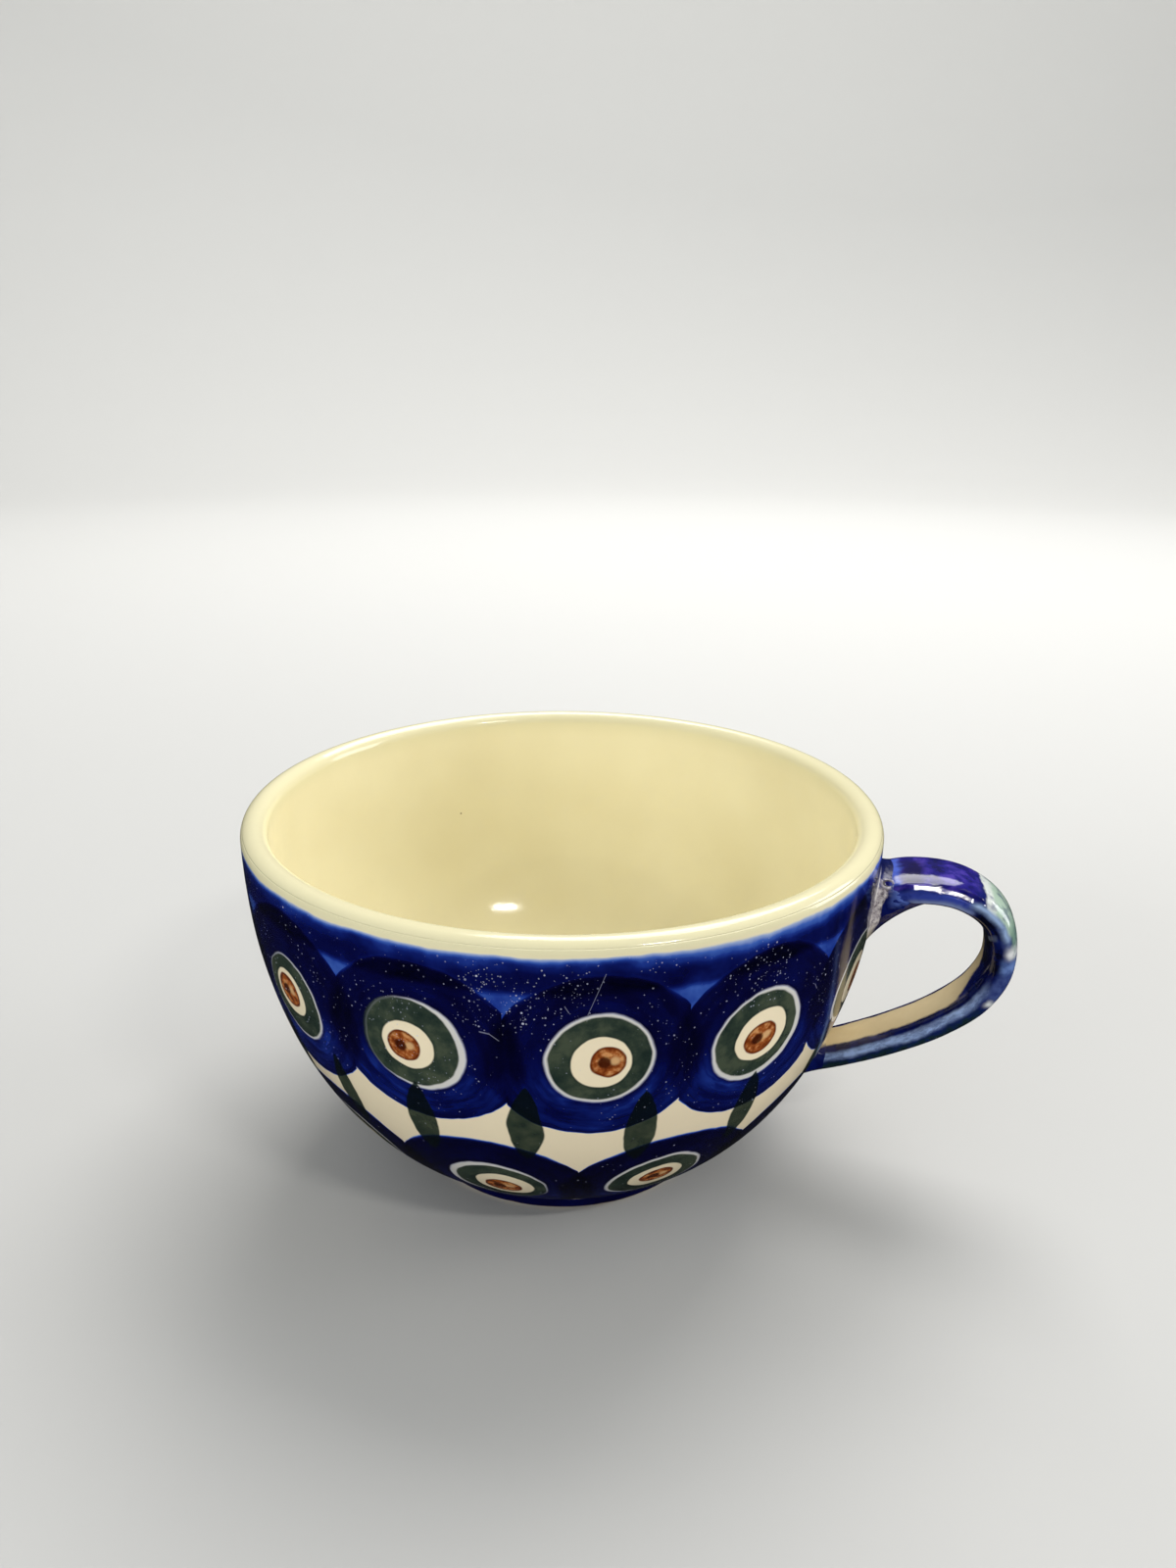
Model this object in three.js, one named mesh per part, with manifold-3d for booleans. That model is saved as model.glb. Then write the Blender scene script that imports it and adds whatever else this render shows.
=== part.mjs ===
// A wide, low stoneware cup: a thrown bowl with a rounded lip on a small turned foot ring,
// and a pulled strap handle luted on with clay slip. A cream glaze lines the inside and
// laps over the lip; a thin coloured glaze coats the outside.
//
// Millimetres, +Z up. The cup stands on z = 0, the handle points along +X, and the origin
// is at the middle of the footprint, so the bowl's own axis stands a little way along -X.

import * as THREE from 'three';
import { mergeVertices } from 'three/addons/utils/BufferGeometryUtils.js';
import Module from 'manifold-3d';

// ---- driving dimensions ----
const RIM_RADIUS = 54;          // outermost radius of the lip
const LIP_RADIUS = 2.15;        // half the thickness of the rounded lip
const CUP_HEIGHT = 64;          // foot to top of the lip
const FOOT_HEIGHT = 3.5;
const FOOT_OUTER_RADIUS = 27.6;
const FOOT_INNER_RADIUS = 22.6;
const FOOT_EDGE = 0.7;          // bevel on the ring's lower edges
const FLOOR_THICKNESS = 4.5;
const GLAZE = 0.4;              // thickness of both glaze coats
const GAP = 0.3;                // clearance between luted pieces
const HANDLE_REACH = 76.8;      // bowl axis to the outermost point of the handle

// ---- how finely curves are cut ----
const SEGMENTS = 40;            // facets around the bowl
const WALL_STEPS = 10;          // rings down each side of the wall
const LIP_STEPS = 6;            // rings over the rounded lip
const CROSSING_STEPS = 400;     // places tried when finding where the strap meets the wall
const WELD = 1e-4;              // points closer than this are one point

// The bowl's outer curve runs down from the lip's centre line as
// r = RIM_RADIUS * (1 - (depth / OUTER.depth) ^ OUTER.drop) ^ (1 / OUTER.round).
const OUTER = { radius: RIM_RADIUS, depth: 65.7, drop: 2.13, round: 2.43 };
const LIP_CENTRE_Z = CUP_HEIGHT - LIP_RADIUS;
const INNER = {
  radius: RIM_RADIUS - 2 * LIP_RADIUS,
  depth: LIP_CENTRE_Z - FOOT_HEIGHT - FLOOR_THICKNESS,
  drop: 2.6,
  round: 2.7,
};
const AXIS_X = -(HANDLE_REACH - RIM_RADIUS) / 2;

// The handle's strap, from its upper root to its lower root.
const STRAP = {
  widthTop: 13.6,
  widthBottom: 9.6,
  thickTop: 5.4,
  thickBottom: 4.5,
  squareness: 2.6,              // exponent of the rounded strap section
  sides: 20,
  steps: 34,
};
// Centre line of the strap: distance from the bowl's axis, and height.
const STRAP_LINE = [
  [51.0, 52.0],
  [59.0, 54.6],
  [67.2, 54.0],
  [72.8, 49.9],
  [74.2, 42.0],
  [71.6, 35.7],
  [66.0, 30.3],
  [58.4, 25.6],
  [49.5, 21.5],
  [42.5, 19.0],
];
// Each slip joint is a flared collar of clay around a root of the strap. It starts inside
// the wall, is widest at the wall, and thins to an edge a little way along the strap.
const JOINT = {
  length: 3.8,                  // from the wall to the thin edge
  buried: 0.8,                  // how far it starts inside the wall, as a share of the length
  flare: 2.0,                   // how far it spreads at the wall
  edge: 0.45,                   // how thick its thin edge is
  steps: 10,
};

const ROUGHNESS = { bareClay: 0.85, glaze: 0.15, slip: 0.25 };

const COLOURS = {
  clay: 0xcfc3a8,
  cream: 0xe6dcb8,
  cobalt: 0x1b2f86,
  handle: 0x243c93,
  slip: 0x6f7fae,
};

// ---- profiles ----
function bowlRadius(curve, depth) {
  const share = Math.min(depth / curve.depth, 1);
  return curve.radius * (1 - share ** curve.drop) ** (1 / curve.round);
}

function bowlCurve(curve, fromDepth, toDepth, count) {
  const points = [];
  for (let i = 0; i <= count; i += 1) {
    // Steps shorten towards the bottom, where the curve turns fastest.
    const share = Math.sin((i / count) * Math.PI / 2);
    const depth = fromDepth + (toDepth - fromDepth) * share;
    points.push(new THREE.Vector2(bowlRadius(curve, depth), LIP_CENTRE_Z - depth));
  }
  return points;
}

function lipArc(radius, count) {
  const points = [];
  for (let i = 0; i <= count; i += 1) {
    const angle = Math.PI * (1 - i / count);
    points.push(new THREE.Vector2(
      RIM_RADIUS - LIP_RADIUS + radius * Math.cos(angle),
      LIP_CENTRE_Z + radius * Math.sin(angle),
    ));
  }
  return points;
}

// Moves a profile sideways by a distance, to the left of its direction of travel.
function offsetProfile(points, distance) {
  return points.map((point, i) => {
    const before = points[Math.max(i - 1, 0)];
    const after = points[Math.min(i + 1, points.length - 1)];
    const along = after.clone().sub(before).normalize();
    return new THREE.Vector2(point.x - along.y * distance, point.y + along.x * distance);
  });
}

const outerDepth = LIP_CENTRE_Z - FOOT_HEIGHT;
const outerSurface = bowlCurve(OUTER, 0, outerDepth, WALL_STEPS);
const outerClay = offsetProfile(outerSurface, -GLAZE);
outerClay[0].set(RIM_RADIUS - GLAZE, LIP_CENTRE_Z);
outerClay[outerClay.length - 1].y = FOOT_HEIGHT;

const innerSurface = bowlCurve(INNER, 0, INNER.depth, WALL_STEPS).reverse();
const innerClay = offsetProfile(innerSurface, -GLAZE);
innerClay[0].set(0, innerSurface[0].y - GLAZE);
innerClay[innerClay.length - 1].set(INNER.radius + GLAZE, LIP_CENTRE_Z);

const lipSurface = lipArc(LIP_RADIUS, LIP_STEPS);
const lipClay = lipArc(LIP_RADIUS - GLAZE, LIP_STEPS);

// ---- solids ----
const wasm = await Module();
wasm.setup();

function toManifold(geometry) {
  const bare = geometry.index ? geometry.clone() : mergeVertices(geometry);
  bare.deleteAttribute('normal');
  bare.deleteAttribute('uv');
  const merged = mergeVertices(bare, WELD);
  return new wasm.Manifold(new wasm.Mesh({
    numProp: 3,
    vertProperties: new Float32Array(merged.attributes.position.array),
    triVerts: new Uint32Array(merged.index.array),
  }));
}

function toGeometry(manifold) {
  const mesh = manifold.getMesh();
  const geometry = new THREE.BufferGeometry();
  geometry.setAttribute('position', new THREE.BufferAttribute(mesh.vertProperties, 3));
  geometry.setIndex(new THREE.BufferAttribute(mesh.triVerts, 1));
  return geometry;
}

// Turns a profile of (radius, height) points about the bowl's axis.
function turned(points) {
  const geometry = new THREE.LatheGeometry(points, SEGMENTS);
  geometry.rotateX(Math.PI / 2);
  geometry.translate(AXIS_X, 0, 0);
  return geometry;
}

// A solid of revolution from the axis out to a surface, used only as a cutter.
function turnedCore(surface, top) {
  const last = surface[surface.length - 1];
  return toManifold(turned([
    new THREE.Vector2(0, last.y),
    ...surface.slice().reverse(),
    new THREE.Vector2(surface[0].x, top),
    new THREE.Vector2(0, top),
  ]));
}

function makeBowl() {
  const last = outerClay[outerClay.length - 1];
  return turned([
    new THREE.Vector2(0, last.y),
    ...outerClay.slice().reverse(),
    ...lipClay.slice().reverse().slice(1, -1),
    ...innerClay.slice().reverse(),
  ]);
}

function makeLining() {
  const surface = [...innerSurface, ...lipSurface.slice(1)];
  const clay = [...innerClay, ...lipClay.slice(1)];
  return turned([...clay, ...surface.slice().reverse()]);
}

function makeFootRing() {
  return turned([
    new THREE.Vector2(FOOT_INNER_RADIUS, FOOT_EDGE),
    new THREE.Vector2(FOOT_INNER_RADIUS + FOOT_EDGE, 0),
    new THREE.Vector2(FOOT_OUTER_RADIUS - FOOT_EDGE, 0),
    new THREE.Vector2(FOOT_OUTER_RADIUS, FOOT_EDGE),
    new THREE.Vector2(FOOT_OUTER_RADIUS, FOOT_HEIGHT),
    new THREE.Vector2(FOOT_INNER_RADIUS, FOOT_HEIGHT),
    new THREE.Vector2(FOOT_INNER_RADIUS, FOOT_EDGE),
  ]);
}

// ---- the strap handle ----
const strapCurve = new THREE.CatmullRomCurve3(
  STRAP_LINE.map(([radius, height]) => new THREE.Vector3(AXIS_X + radius, 0, height)),
  false,
  'centripetal',
);
const strapLength = strapCurve.getLength();

function squared(value) {
  return Math.sign(value) * Math.abs(value) ** (2 / STRAP.squareness);
}

// A rounded section one unit wide and one unit thick.
function strapSection() {
  const points = [];
  for (let i = 0; i < STRAP.sides; i += 1) {
    const angle = (i / STRAP.sides) * 2 * Math.PI;
    points.push(new THREE.Vector2(squared(Math.cos(angle)) / 2, squared(Math.sin(angle)) / 2));
  }
  return new THREE.Shape(points);
}

// Bends a straight extrusion round the strap's centre line between two shares of its
// length. grow(share) is how far the surface stands outside the strap's own.
function bentStrap(from, to, steps, grow) {
  const geometry = new THREE.ExtrudeGeometry(strapSection(), {
    depth: 1,
    steps,
    bevelEnabled: false,
  });
  const position = geometry.attributes.position;
  const sideways = new THREE.Vector3(0, 1, 0);
  for (let i = 0; i < position.count; i += 1) {
    const share = THREE.MathUtils.clamp(position.getZ(i), 0, 1);
    const u = from + (to - from) * share;
    const centre = strapCurve.getPointAt(u);
    const outward = strapCurve.getTangentAt(u).cross(sideways);
    const width = THREE.MathUtils.lerp(STRAP.widthTop, STRAP.widthBottom, u) + 2 * grow(share);
    const thick = THREE.MathUtils.lerp(STRAP.thickTop, STRAP.thickBottom, u) + 2 * grow(share);
    centre.addScaledVector(sideways, position.getX(i) * width);
    centre.addScaledVector(outward, position.getY(i) * thick);
    position.setXYZ(i, centre.x, centre.y, centre.z);
  }
  return toManifold(geometry);
}

// The share of the strap's length at which its centre line crosses the clay wall.
function wallCrossing(startFromTop) {
  for (let i = 0; i <= CROSSING_STEPS; i += 1) {
    const u = startFromTop ? i / CROSSING_STEPS : 1 - i / CROSSING_STEPS;
    const point = strapCurve.getPointAt(u);
    const wall = bowlRadius(OUTER, LIP_CENTRE_Z - point.z) - GLAZE;
    if (point.x - AXIS_X > wall) return u;
  }
  throw new Error('the strap never leaves the wall');
}

const clayCutter = turnedCore(offsetProfile(outerClay, GAP), LIP_CENTRE_Z);

function makeHandle() {
  return toGeometry(bentStrap(0, 1, STRAP.steps, () => 0).subtract(clayCutter));
}

// A collar round the strap. from and to are shares of the strap's length, at the wall and
// at the collar's thin edge, and extra makes it stand out further all over.
function collar(from, to, extra) {
  const start = THREE.MathUtils.clamp(from + (from - to) * JOINT.buried, 0, 1);
  const grow = (share) => {
    const pastWall = THREE.MathUtils.clamp(share * (1 + JOINT.buried) - JOINT.buried, 0, 1);
    return GAP + JOINT.edge + JOINT.flare * (1 - pastWall) ** 2 + extra;
  };
  if (to > from) return bentStrap(start, to, JOINT.steps, grow);
  return bentStrap(to, start, JOINT.steps, (share) => grow(1 - share));
}

function makeSlipJoint(from, to) {
  const roomForStrap = bentStrap(0, 1, STRAP.steps, () => GAP);
  return toGeometry(collar(from, to, 0).subtract(roomForStrap).subtract(clayCutter));
}

const upperWall = wallCrossing(true);
const lowerWall = wallCrossing(false);
const upperTip = upperWall + JOINT.length / strapLength;
const lowerTip = lowerWall - JOINT.length / strapLength;

function makeOuterGlaze() {
  const coat = toManifold(turned([...outerClay, ...outerSurface.slice().reverse(), outerClay[0]]));
  return toGeometry(coat
    .subtract(collar(upperWall, upperTip, GAP))
    .subtract(collar(lowerWall, lowerTip, GAP)));
}

// ---- assembly ----
function add(group, name, geometry, colour, roughness) {
  const material = new THREE.MeshStandardMaterial({ color: colour, roughness, metalness: 0 });
  const mesh = new THREE.Mesh(geometry, material);
  mesh.name = name;
  group.add(mesh);
}

const cup = new THREE.Group();
add(cup, 'bowl', makeBowl(), COLOURS.clay, ROUGHNESS.bareClay);
add(cup, 'foot_ring', makeFootRing(), COLOURS.clay, ROUGHNESS.bareClay);
add(cup, 'handle', makeHandle(), COLOURS.handle, ROUGHNESS.glaze);
add(cup, 'upper_slip_joint', makeSlipJoint(upperWall, upperTip), COLOURS.slip, ROUGHNESS.slip);
add(cup, 'lower_slip_joint', makeSlipJoint(lowerWall, lowerTip), COLOURS.slip, ROUGHNESS.slip);
add(cup, 'lining_glaze', makeLining(), COLOURS.cream, ROUGHNESS.glaze);
add(cup, 'outer_glaze', makeOuterGlaze(), COLOURS.cobalt, ROUGHNESS.glaze);

export default cup;
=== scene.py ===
"""The looks of a wide, low stoneware cup, painted by hand with cobalt discs, eyes and leaves.

Everything is in metres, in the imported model's own frame: the cup stands on z = 0 and the
handle points along +X. Sizes below are in millimetres times MM, and MM comes from the frame.
"""

import math
import random

import bpy
from mathutils import Matrix, Quaternion, Vector, noise


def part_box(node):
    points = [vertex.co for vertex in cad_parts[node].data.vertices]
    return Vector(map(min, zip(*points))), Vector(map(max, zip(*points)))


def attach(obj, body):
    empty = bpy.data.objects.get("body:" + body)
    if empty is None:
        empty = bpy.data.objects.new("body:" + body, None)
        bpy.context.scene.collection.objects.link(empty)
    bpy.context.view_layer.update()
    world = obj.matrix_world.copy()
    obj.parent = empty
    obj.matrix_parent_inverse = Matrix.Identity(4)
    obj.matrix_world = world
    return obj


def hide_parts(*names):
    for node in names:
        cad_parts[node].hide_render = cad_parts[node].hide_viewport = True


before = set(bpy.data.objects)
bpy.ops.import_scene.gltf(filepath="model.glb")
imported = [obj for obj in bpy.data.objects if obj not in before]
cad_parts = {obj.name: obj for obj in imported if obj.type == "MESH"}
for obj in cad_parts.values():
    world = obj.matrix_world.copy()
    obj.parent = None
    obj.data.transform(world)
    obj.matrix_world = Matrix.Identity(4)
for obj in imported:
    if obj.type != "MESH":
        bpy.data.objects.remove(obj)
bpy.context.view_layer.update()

# ---- driving dimensions, from the frame ----
lining_low, lining_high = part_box("lining_glaze")
foot_low, foot_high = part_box("foot_ring")
RIM = (lining_high.x - lining_low.x) / 2  # outermost radius of the lip
MM = RIM / 54  # the drawing is for a rim of 54 mm
AXIS = (lining_low.x + lining_high.x) / 2  # where the bowl's own axis crosses X
TOP = lining_high.z
FOOT_TOP = foot_high.z
FOOT_OUTER = (foot_high.x - foot_low.x) / 2
FOOT_WIDTH = 5.0 * MM
LIP = 2.15 * MM  # radius of the rounded lip
LIP_Z = TOP - LIP  # height of the lip's centre line
GLAZE = 0.35 * MM
HAIR = 0.03 * MM  # gap that keeps hidden faces apart

# Both sides of the wall follow r = radius * (1 - (depth / deep) ^ drop) ^ (1 / round),
# with the depth measured down from the lip's centre line.
OUTER = {"radius": RIM, "deep": 65.7 * MM, "drop": 2.13, "round": 2.43}
INNER = {"radius": RIM - 2 * LIP, "deep": LIP_Z - FOOT_TOP - 4.5 * MM, "drop": 2.6, "round": 2.7}

# The strap handle: its centre line as (distance from the bowl's axis, height), in mm.
STRAP_LINE = [
    (51.0, 52.0), (59.0, 54.6), (67.2, 54.0), (72.8, 49.9), (74.2, 42.0),
    (71.6, 35.7), (66.0, 30.3), (58.4, 25.6), (49.5, 21.5), (42.5, 19.0),
]
STRAP_WIDE = (13.6 * MM, 9.6 * MM)  # at the upper root and the lower root
STRAP_THICK = (5.4 * MM, 4.5 * MM)
STRAP_SQUARE = 2.6  # exponent of the rounded section

AROUND = 360  # vertices round the bowl


# ---- small helpers ----
def lerp(a, b, share):
    return a + (b - a) * share


def smooth(low, high, value):
    share = min(max((value - low) / (high - low), 0.0), 1.0)
    return share * share * (3 - 2 * share)


def wall_radius(curve, z):
    depth = min(max((LIP_Z - z) / curve["deep"], 0.0), 1.0)
    return curve["radius"] * (1 - depth ** curve["drop"]) ** (1 / curve["round"])


def new_piece(name, vertices, faces, replaced, uv_name, uv_values):
    """Makes a smooth closed mesh that stands for a CAD node."""
    mesh = bpy.data.meshes.new(name)
    mesh.from_pydata(vertices, [], faces)
    mesh.validate()
    layer = mesh.uv_layers.new(name=uv_name)
    for face in mesh.polygons:
        values = [uv_values[k] for k in face.vertices]
        crosses = max(u for u, _ in values) - min(u for u, _ in values) > 0.5
        for loop, (u, v) in zip(face.loop_indices, values):
            layer.data[loop].uv = (u + 1 if crosses and u < 0.5 else u, v)
    mesh.shade_smooth()
    piece = bpy.data.objects.new(name, mesh)
    bpy.context.scene.collection.objects.link(piece)
    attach(piece, "root")
    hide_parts(replaced)
    return piece


def grid_faces(rows, columns, close_rows=True, flip=False):
    """Quads between rows of vertices. Every row is a closed ring."""
    faces = []
    for i in range(rows if close_rows else rows - 1):
        for j in range(columns):
            here = i * columns
            above = ((i + 1) % rows) * columns
            k = (j + 1) % columns
            quad = (here + j, here + k, above + k, above + j)
            faces.append(quad[::-1] if flip else quad)
    return faces


def turned_piece(name, profile, replaced, wobble=None, flip=False):
    """A piece whose closed profile of (radius, height, mark) is turned about the bowl's axis."""
    vertices, marks = [], []
    for radius, z, mark in profile:
        for j in range(AROUND):
            turn = 2 * math.pi * j / AROUND
            r = radius - (wobble(turn, z) if wobble else 0.0)
            vertices.append((AXIS + r * math.sin(turn), -r * math.cos(turn), z))
            marks.append((j / AROUND, mark / 100))
    faces = grid_faces(len(profile), AROUND, flip=flip)
    return new_piece(name, vertices, faces, replaced, "paint", marks)


def hand_wobble(turn, z):
    """A thrown wall is never quite round. The rim's outline only ever shrinks."""
    place = Vector((math.sin(turn), math.cos(turn), z / RIM * 2.5))
    return 0.12 * MM * (0.5 + 0.5 * noise.noise(place * 1.7))


def direction_of(azimuth, elevation):
    """A unit vector, in degrees round from -Y towards +X and degrees up."""
    a, e = math.radians(azimuth), math.radians(elevation)
    return Vector((math.sin(a) * math.cos(e), -math.cos(a) * math.cos(e), math.sin(e)))


# ---- profiles of the bowl ----
SEAM_ANGLE = math.radians(32)  # where the two coats meet, up from the lip's side


def lip_point(angle, inward=0.0):
    """A point on the lip at an angle up from its outermost line."""
    reach = LIP - inward
    return RIM - LIP + reach * math.cos(angle), LIP_Z + reach * math.sin(angle)


def outer_profile():
    """(radius, height, distance in mm below the lip's centre line) down the outside."""
    points = []
    for i in range(9):
        angle = SEAM_ANGLE * (1 - i / 8)
        radius, z = lip_point(angle)
        points.append((radius, z, -angle * LIP / MM))
    length = 0.0
    steps = 110
    before = points[-1]
    for i in range(1, steps + 1):
        z = lerp(LIP_Z, FOOT_TOP, math.sin(i / steps * math.pi / 2))
        radius = wall_radius(OUTER, z)
        length += math.hypot(radius - before[0], z - before[1]) / MM
        before = (radius, z, length)
        points.append(before)
    return points


def inset(profile, distance):
    """The same profile pushed to the right of its direction of travel."""
    moved = []
    for i, (radius, z, mark) in enumerate(profile):
        a = profile[max(i - 1, 0)]
        b = profile[min(i + 1, len(profile) - 1)]
        along_r, along_z = b[0] - a[0], b[1] - a[1]
        size = math.hypot(along_r, along_z)
        moved.append((radius + along_z / size * distance, z - along_r / size * distance, mark))
    return moved


def inner_profile():
    """(radius, height, distance in mm from the seam) over the lip and down the inside."""
    points = []
    length = 0.0
    for i in range(29):
        angle = lerp(SEAM_ANGLE, math.pi, i / 28)
        radius, z = lip_point(angle)
        if points:
            length += math.hypot(radius - points[-1][0], z - points[-1][1]) / MM
        points.append((radius, z, length))
    steps = 110
    for i in range(1, steps + 1):
        depth = math.sin(i / steps * math.pi / 2)
        z = LIP_Z - INNER["deep"] * depth
        radius = max(wall_radius(INNER, z), 0.4 * MM)
        length += math.hypot(radius - points[-1][0], z - points[-1][1]) / MM
        points.append((radius, z, length))
    return points


def coat(front, thickness):
    """A closed profile: the front that shows, and a coarser back behind it."""
    back = inset(front, thickness)[::-1]
    return front + back[::3] + back[-1:]


outer_coat = turned_piece(
    "outer_coat", coat(outer_profile(), GLAZE), "outer_glaze", hand_wobble, flip=True)
lining_coat = turned_piece(
    "lining_coat", coat(inner_profile(), -GLAZE), "lining_glaze", hand_wobble)


# ---- the clay body and the foot ring ----
TURNING_MARKS = 26  # radians of ripple from rim to middle


def make_clay_body():
    """The thrown clay under both coats. Only its underside shows."""
    outside = inset(outer_profile(), GLAZE + HAIR)
    inside = inset(inner_profile(), -GLAZE - HAIR)
    dome = []
    steps = 40
    rim = outside[-1][0]
    for i in range(1, steps + 1):
        share = i / steps
        ridge = 0.05 * MM * math.sin(share * TURNING_MARKS)
        rise = 0.9 * MM * smooth(0.2, 0.75, share) + ridge * share
        dome.append((max(rim * (1 - share), 0.4 * MM), FOOT_TOP + rise + HAIR, 0))
    profile = outside[::2] + dome + inside[::-2]
    return turned_piece("clay_body", profile, "bowl", hand_wobble, flip=True)


def make_foot():
    """A turned ring with softened edges."""
    inner = FOOT_OUTER - FOOT_WIDTH
    edge = 0.9 * MM
    profile = []

    def corner(centre_r, centre_z, start, end):
        for i in range(9):
            angle = math.radians(lerp(start, end, i / 8))
            radius = centre_r + edge * math.cos(angle)
            profile.append((radius, centre_z + edge * math.sin(angle), 0))

    top = FOOT_TOP + 0.2 * MM
    corner(inner + edge, edge, 180, 270)
    corner(FOOT_OUTER - edge, edge, 270, 360)
    profile.append((FOOT_OUTER, FOOT_TOP * 0.6, 0))
    profile.append((FOOT_OUTER, top, 0))
    profile.append((inner, top, 0))
    profile.append((inner, FOOT_TOP * 0.6, 0))
    return turned_piece("turned_foot", profile, "foot_ring")


# ---- the strap handle ----
def strap_points():
    points = [Vector((AXIS + r * MM, 0, z * MM)) for r, z in STRAP_LINE]
    first = points[0] * 2 - points[1]
    last = points[-1] * 2 - points[-2]
    return [first] + points + [last]


def centripetal(points, per_span=40):
    """Points along the centripetal Catmull-Rom curve through all but the end points."""
    line = []
    for k in range(1, len(points) - 2):
        a, b, c, d = points[k - 1:k + 3]
        ab = (b - a).length ** 0.5
        bc = (c - b).length ** 0.5
        cd = (d - c).length ** 0.5
        leave = ((b - a) / ab - (c - a) / (ab + bc) + (c - b) / bc) * bc
        arrive = ((c - b) / bc - (d - b) / (bc + cd) + (d - c) / cd) * bc
        for i in range(per_span):
            t = i / per_span
            line.append(
                b * (2 * t ** 3 - 3 * t ** 2 + 1) + leave * (t ** 3 - 2 * t ** 2 + t)
                + c * (3 * t ** 2 - 2 * t ** 3) + arrive * (t ** 3 - t ** 2)
            )
    line.append(points[-2])
    return line


class Strap:
    """The strap's centre line, measured by its length, and the surface around it."""

    def __init__(self):
        self.line = centripetal(strap_points())
        self.lengths = [0.0]
        for a, b in zip(self.line, self.line[1:]):
            self.lengths.append(self.lengths[-1] + (b - a).length)
        self.length = self.lengths[-1]
        self.start = self.wall_crossing(range(len(self.line)))
        self.end = self.wall_crossing(range(len(self.line) - 1, -1, -1))

    def wall_crossing(self, order):
        for i in order:
            if self.line[i].x - AXIS > wall_radius(OUTER, self.line[i].z):
                return self.lengths[i]

    def centre(self, along):
        """The centre line's point and direction at a distance along it."""
        along = min(max(along, 0.0), self.length)
        i = 1
        while i < len(self.lengths) - 1 and self.lengths[i] < along:
            i += 1
        a, b = self.line[i - 1], self.line[i]
        share = (along - self.lengths[i - 1]) / (self.lengths[i] - self.lengths[i - 1])
        direction = (self.line[min(i + 1, len(self.line) - 1)] - self.line[max(i - 2, 0)])
        return a.lerp(b, share), direction.normalized()

    def surface(self, along, turn, grow=0.0):
        """A point on the strap. Turn 0 is the side towards +Y, a quarter turn the outer face."""
        point, direction = self.centre(along)
        share = along / self.length
        sideways = Vector((0, 1, 0))
        outward = direction.cross(sideways)
        across = math.copysign(abs(math.cos(turn)) ** (2 / STRAP_SQUARE), math.cos(turn))
        through = math.copysign(abs(math.sin(turn)) ** (2 / STRAP_SQUARE), math.sin(turn))
        wide = lerp(*STRAP_WIDE, share) + 2 * grow
        thick = lerp(*STRAP_THICK, share) + 2 * grow
        return point + sideways * across * wide / 2 + outward * through * thick / 2


strap = Strap()
STRAP_SIDES = 144
ROOT_LIFT = 1.5 * MM  # the ends are measured this far up the strap

# A flat that the potter's thumb left along the front of the strap's top.
FLAT_ALONG, FLAT_TURN = 12.8 * MM, 0.440
FLAT_NORMAL = direction_of(19.0, 36.0)
FLAT_POINT = strap.surface(FLAT_ALONG, FLAT_TURN * 2 * math.pi) - FLAT_NORMAL * 0.22 * MM


def thumbed(point, along, turn_share):
    """Presses a point of the strap's surface onto the flat, if it lies there.

    The flat's soft limits are in mm along the strap, and in shares of the turn round it."""
    run = smooth(6.6, 8.2, along / MM) * smooth(19.4, 17.8, along / MM)
    width = smooth(0.392, 0.415, turn_share) * smooth(0.490, 0.465, turn_share)
    above = (point - FLAT_POINT).dot(FLAT_NORMAL)
    return point - FLAT_NORMAL * above * run * width


def to_wall(point, direction, clearance):
    """Slides a point along a direction until it is on the outside wall."""
    for _ in range(12):
        radius = math.hypot(point.x - AXIS, point.y)
        short = wall_radius(OUTER, point.z) + clearance - radius
        outward = Vector(((point.x - AXIS) / radius, point.y / radius, 0.35)).normalized()
        facing = direction.dot(outward)
        step = short / max(abs(facing), 0.3)
        point = point + direction * (step if facing > 0 else -step)
    return point


def make_strap():
    vertices, marks = [], []
    steps = 200
    sink = -0.3 * MM
    first = strap.start + ROOT_LIFT
    last = strap.end - ROOT_LIFT
    for i in range(steps + 1):
        along = lerp(first, last, i / steps)
        for j in range(STRAP_SIDES):
            turn = 2 * math.pi * j / STRAP_SIDES
            vertices.append(thumbed(strap.surface(along, turn), along, j / STRAP_SIDES))
            marks.append((j / STRAP_SIDES, along / MM / 100))
    # Both ends run on along the strap until they are just inside the wall.
    for end, along in ((0, first), (steps, last)):
        _, direction = strap.centre(along)
        for j in range(STRAP_SIDES):
            k = end * STRAP_SIDES + j
            vertices[k] = to_wall(vertices[k], direction, sink)
    faces = grid_faces(steps + 1, STRAP_SIDES, close_rows=False)
    ends = [list(range(STRAP_SIDES))[::-1],
            [steps * STRAP_SIDES + j for j in range(STRAP_SIDES)]]
    return new_piece("strap", vertices, faces + ends, "handle", "strap", marks)


PIT = (4.9 * MM, 0.375)  # along the strap, and share of the turn round it
PIT_POINT = strap.surface(PIT[0], PIT[1] * 2 * math.pi)
ROOT_SIDES = 180


def underside(turn):
    """1 on the strap's inner face, falling to 0 round on its sides."""
    return max(0.0, -math.sin(turn)) ** 1.5


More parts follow.
